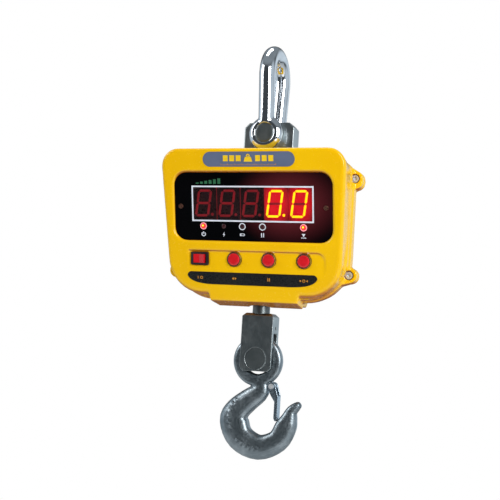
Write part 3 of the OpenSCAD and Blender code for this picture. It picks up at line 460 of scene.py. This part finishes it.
def segment_outline(centre, ends):
    """One stroke of a digit: a long hexagon between two corners of the digit, slanted."""
    gap, half = 0.45, STROKE / 2
    (x0, y0), (x1, y1) = ((x * DIGIT_HALF_W, y * DIGIT_HALF_H) for x, y in ends)
    along = Vector((x1 - x0, y1 - y0)).normalized()
    across = Vector((-along.y, along.x)) * half
    start, end = Vector((x0, y0)) + along * gap, Vector((x1, y1)) - along * gap
    points = [
        start, start + along * half - across, end - along * half - across,
        end, end - along * half + across, start + along * half + across,
    ]
    return [(centre[0] + p.x + p.y * SLANT, centre[1] + p.y) for p in points]


def add_digit(number):
    """One digit module: its face, and the strokes and point on it."""
    lit = LIT.get(number, "")
    low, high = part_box(f"digit_module_{number}")
    x = (low.x + high.x) / 2 / MM
    half_w = (high.x - low.x) / 2 / MM
    corners = [(FACE.inverted() @ Vector((0, y, z))) / MM for y in (low.y, high.y) for z in (low.z, high.z)]
    y = sum(p.y for p in corners) / 4
    centre = (x - 2.0, y)
    name = f"digit_{number}"
    face_material = materials["digit_plastic"]
    # Painted light: the face of a lit module is tinted red and glows round its strokes
    if lit:
        face_material = finish(name + "_red", (0.10, 0.01, 0.015), (0.08, 0.01, 0.01), (0.3, 0.45), patch=60)
        glow(face_material, (0.72, 0.003, 0.014), 1.0, centre=(x - 1, y, DIGIT_FRONT), reach=(24, 34, 20))

    def module(mesh):
        outline = rounded(x - half_w, y - MODULE_HALF_H, x + half_w, y + MODULE_HALF_H, 0.6, 3)
        prism(mesh, outline, DIGIT_FRONT - DIGIT_DEPTH, DIGIT_FRONT)
    block = on_face(name + "_block", module, "digit_plastic", face_material, bevel=0.12)
    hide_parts(f"digit_module_{number}")

    surface = (DIGIT_FRONT - 0.2, DIGIT_FRONT + 0.15)
    for group, material in (("lit", "segment_lit"), ("unlit", "segment_dim_glow")):
        names = [s for s in SEGMENTS if (s in lit) == (group == "lit")]
        if not names:
            continue
        has_point = number < 5 and ("p" in lit) == (group == "lit")

        def strokes(mesh):
            for s in names:
                prism(mesh, segment_outline(centre, SEGMENTS[s]), *surface)
            if has_point:
                px, py = centre[0] + POINT[0] + POINT[1] * SLANT, centre[1] + POINT[1]
                outline = rounded(px - POINT_R, py - POINT_R, px + POINT_R, py + POINT_R, POINT_R - 0.05, 6)
                prism(mesh, outline, *surface)
        on_face(f"{name}_{group}", strokes, "red_led", prints[material])


def add_display():
    """The digits, the thin lines between them, and the white border printed round the window."""
    for number in range(1, 6):
        add_digit(number)
    low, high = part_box("display_filter")
    half = (high.x - low.x) / 2 / MM - 0.6
    top, foot, line = -43.2, -80.0, 1.7

    def border(mesh):
        out = half + line
        for x0, y0, x1, y1 in (
            (-out, top, out, top + line), (-out, foot - line, out, foot),
            (-out, foot, -half, top), (half, foot, out, top),
        ):
            prism(mesh, [(x0, y0), (x1, y0), (x1, y1), (x0, y1)], PANEL_OUT - 0.2, PANEL_OUT + PRINT)
    on_face("window_border", border, "black_acrylic", prints["white_print"])

    def dividers(mesh):
        pitch, half_line = 28.1, 0.3
        for k in (1, 2, 3):
            x = (k - 2.5) * pitch
            outline = [(x - half_line, -80), (x + half_line, -80), (x + half_line, -43), (x - half_line, -43)]
            prism(mesh, outline, -5.4, -5.02)
    # The lines between the digits carry the same painted dim glow
    on_face("digit_dividers", dividers, "red_led", prints["segment_dim_glow"])


# Lamps and printed signs ---------------------------------------------------------------------------
# Each sign is drawn round x, y at a size s, in mm, on a surface at a level of the face's own frame
SINK = 0.1
LABEL_OUT = 0.4


def polygon(mesh, points, level):
    prism(mesh, points, level - SINK, level + PRINT)


def bar(mesh, x0, y0, x1, y1, level):
    polygon(mesh, [(x0, y0), (x1, y0), (x1, y1), (x0, y1)], level)


def ring(mesh, x, y, inner, outer, level, start=0.0, sweep=2 * math.pi):
    annulus(mesh, (x, y), inner, outer, level - SINK, level + PRINT, 32, start, sweep)


def power_sign(mesh, x, y, s, level):
    ring(mesh, x, y, 0.62 * s, s, level, math.radians(125), math.radians(290))
    bar(mesh, x - 0.18 * s, y + 0.1 * s, x + 0.18 * s, y + 1.15 * s, level)


def bolt_sign(mesh, x, y, s, level):
    shape = [(0.3, 1.1), (-0.55, -0.1), (-0.05, -0.1), (-0.3, -1.1), (0.55, 0.15), (0.05, 0.15)]
    polygon(mesh, [(x + a * s, y + b * s) for a, b in shape], level)


def low_sign(mesh, x, y, s, level):
    """A battery with little charge."""
    for x0, y0, x1, y1 in (
        (-1.1, -0.55, 0.9, -0.3), (-1.1, 0.3, 0.9, 0.55), (0.65, -0.3, 0.9, 0.3),
        (0.9, -0.2, 1.15, 0.2), (-1.1, -0.3, -0.5, 0.3),
    ):
        bar(mesh, x + x0 * s, y + y0 * s, x + x1 * s, y + y1 * s, level)


def hold_sign(mesh, x, y, s, level):
    for side in (-1, 1):
        middle = x + side * 0.45 * s
        bar(mesh, middle - 0.2 * s, y - 0.9 * s, middle + 0.2 * s, y + 0.9 * s, level)


def stable_sign(mesh, x, y, s, level):
    bar(mesh, x - 1.1 * s, y - 0.95 * s, x + 1.1 * s, y - 0.65 * s, level)
    polygon(mesh, [(x - 0.8 * s, y + 0.9 * s), (x, y - 0.4 * s), (x + 0.8 * s, y + 0.9 * s)], level)


def swap_sign(mesh, x, y, s, level):
    for side in (-1, 1):
        tip, tail = x + side * 1.3 * s, x + side * 0.3 * s
        polygon(mesh, [(tail, y - 0.7 * s), (tail, y + 0.7 * s), (tip, y)][::side], level)


def switch_sign(mesh, x, y, s, level):
    bar(mesh, x - 1.3 * s, y - 0.8 * s, x - 1.0 * s, y + 0.8 * s, level)
    ring(mesh, x + 0.9 * s, y, 0.5 * s, 0.8 * s, level)


def zero_sign(mesh, x, y, s, level):
    ring(mesh, x, y, 0.5 * s, 0.8 * s, level)
    for side in (-1, 1):
        tip, tail = x + side * 1.2 * s, x + side * 2.2 * s
        polygon(mesh, [(tail, y - 0.6 * s), (tail, y + 0.6 * s), (tip, y)][::-side], level)


# Place of each lamp across the panel, how it shows, and the sign under it. One lamp has no ring.
LAMPS = (
    (-58.0, "lit", power_sign), (-33.5, "bare", bolt_sign), (-11.5, "dark", low_sign),
    (12.2, "dark", hold_sign), (59.5, "lit", stable_sign),
)
LAMP_Y = -87.0
SIGN_Y, SIGN_SIZE = LAMP_Y - 9.2, 2.6


def lamp_dome(mesh, x):
    """A shallow dome, closed by a flat top and foot."""
    radius, rise, foot, steps, sides = 2.6, 0.9, -0.5, 5, 32
    rows = [(radius, foot)]
    for k in range(steps):
        angle = math.pi / 2 * k / steps
        rows.append((radius * math.cos(angle), rise * math.sin(angle)))
    loops = []
    for r, z in rows:
        turns = [2 * math.pi * k / sides for k in range(sides)]
        loops.append([
            mesh.verts.new((x + r * math.cos(t), LAMP_Y + r * math.sin(t), PANEL_OUT + z)) for t in turns
        ])
    for a, b in zip(loops, loops[1:]):
        for k in range(sides):
            mesh.faces.new((a[k], a[(k + 1) % sides], b[(k + 1) % sides], b[k]))
    mesh.faces.new(loops[-1])
    mesh.faces.new(reversed(loops[0]))


def add_lamps():
    """Lamp windows, each with its sign. A lit lamp has a bright core."""
    for number, (x, state, sign) in enumerate(LAMPS, 1):
        lit = state == "lit"
        dome = on_face(
            f"lamp_{number}", lambda m: lamp_dome(m, x), "red_led", prints["lamp_lit" if lit else "lamp_dark"]
        )
        dome.data.polygons.foreach_set("use_smooth", [True] * len(dome.data.polygons))
        if lit:
            on_face(
                f"lamp_core_{number}", lambda m: ring(m, x - 0.4, LAMP_Y + 0.5, 0.02, 1.1, PANEL_OUT + 0.85),
                "red_led", prints["lamp_core"]
            )
        if state != "bare":
            on_face(
                f"lamp_ring_{number}", lambda m: ring(m, x, LAMP_Y, 3.0, 3.95, PANEL_OUT),
                # A lit lamp's ring carries its painted glow
                "black_acrylic", prints["pink_print" if lit else "white_print"]
            )
        on_face(
            f"lamp_sign_{number}", lambda m: sign(m, x, SIGN_Y, SIGN_SIZE, PANEL_OUT),
            "black_acrylic", prints["white_print"]
        )


def add_upper_print():
    """The upper label's print: a weight between two rows of blocks, over a ruled scale."""
    middle = -2.5

    def weight_sign(mesh):
        y = -11.0
        weight = [(-5, -3.6), (5, -3.6), (3.4, 1.6), (-3.4, 1.6)]
        polygon(mesh, [(middle + a, y + b) for a, b in weight], LABEL_OUT)
        ring(mesh, middle, y + 2.9, 0.9, 2.0, LABEL_OUT)
        pitch, width = 7.6, 5.6
        for side in (-1, 1):
            for k in range(3):
                near = middle + side * (8.5 + pitch * k)
                left, right = sorted((near, near + side * width))
                bar(mesh, left, y - 3.2, right, y + 3.4, LABEL_OUT)
    on_face("upper_label_print", weight_sign, "blue_label", prints["yellow_print"])

    def scale_marks(mesh):
        marks, pitch, foot = 41, 1.6, -18.6
        for k in range(marks):
            x = middle + (k - marks // 2) * pitch
            bar(mesh, x - 0.2, foot, x + 0.2, foot + (1.9 if k % 5 == 0 else 1.1), LABEL_OUT)
    on_face("upper_label_scale", scale_marks, "blue_label", prints["gold_print"])


def add_lower_label():
    """The lower label, straight along its top and drawn up at both ends, with a sign for each control."""
    centre, half, top, depth = -1.5, 76.5, -139.0, 14.0
    nose, flat, steps = 4.6, 44, 12
    side = []
    for k in range(steps):
        angle = math.pi / 2 * (1 - k / steps)
        side.append((half - nose + nose * math.cos(angle), top - nose + nose * math.sin(angle)))
    for k in range(steps + 1):
        t = k / steps
        x = (1 - t) ** 2 * half + 2 * t * (1 - t) * (half - 4) + t * t * flat
        y = (1 - t) ** 2 * (top - nose) + (2 * t * (1 - t) + t * t) * (top - depth)
        side.append((x, y))
    outline = [(centre - x, y) for x, y in side] + [(centre + x, y) for x, y in reversed(side)]
    label = on_face("lower_label_plate", lambda m: prism(m, outline, 0, LABEL_OUT), "black_label", bevel=0.05)
    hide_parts("lower_label")

    def signs(mesh):
        for draw, x in zip((switch_sign, swap_sign, hold_sign, zero_sign), (-62.8, -21.5, 19.1, 59.7)):
            draw(mesh, x, top - 6.6, 2.1, LABEL_OUT)
    on_face("lower_label_signs", signs, "black_label", prints["gold_print"])


def add_window_mark():
    """A rising row of bars above the window's left end."""
    def bars(mesh):
        first, pitch, width, foot = -66, 5.2, 3.4, -39.4
        for k in range(6):
            x = first + pitch * k
            bar(mesh, x, foot, x + width, foot + 1.5 + 0.9 * k, PANEL_OUT)
    on_face("window_mark", bars, "black_acrylic", prints["green_print"])


# Castings and forgings -----------------------------------------------------------------------------
def forging_marks(mesh):
    """Raised strokes along the hook's front, in two groups."""
    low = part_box("hook")[0]
    bowl = Vector((5 * MM, 0, low.z + 46.3 * MM))
    radius, front = 33 * MM, -9.6 * MM
    first, pitch, lean = math.radians(142), math.radians(9.5), math.radians(72)
    for k in range(15):
        if k in (7, 8):
            continue
        angle = first + pitch * k
        place = bowl + Vector((math.cos(angle), 0, math.sin(angle))) * radius
        size = Matrix.Diagonal((1.3 * MM, 1.6 * MM, (4.4 if k % 3 else 3.0) * MM, 1))
        spin = Matrix.Rotation(-(angle + lean), 4, "Y")
        stroke = Matrix.Translation((place.x, front, place.z)) @ spin @ size
        bmesh.ops.create_cube(mesh, size=1.0, matrix=stroke)


def add_castings():
    cast("front_shell", "case", 1.0, 6, lean=RAKE)
    cast("rear_shell", "case", 1.2, 6)
    cast("shackle", "shackle", 0.8, 14)
    cast("shackle_pin", "shackle", 0.6, 3)
    cast("load_cell", "case", 0.9, 3)
    cast("clevis_block", "swivel", 0.5, 3)
    cast("hook", "hook", 0.8, 8, extra=forging_marks)
    cast("latch", "latch", 0.35, 2)


materials = make_materials()
prints = make_prints()
for name, node in frame["nodes"].items():
    own = prints["panel_screw"] if name == "panel_screws" else materials[slot_of[name]]
    node.data.materials.clear()
    node.data.materials.append(own)

add_camera()
add_world()
add_area_light("left", (-1.25, -0.85, 0.40), (0.8, 0.9), 9)
add_area_light("right", (1.25, -1.15, 0.25), (0.7, 1.2), 27)
add_area_light("top", (-0.2, 0.1, 1.2), (0.9, 0.5), 7)
add_floor()
add_castings()
add_display()
add_lamps()
add_window_mark()
add_upper_print()
add_lower_label()
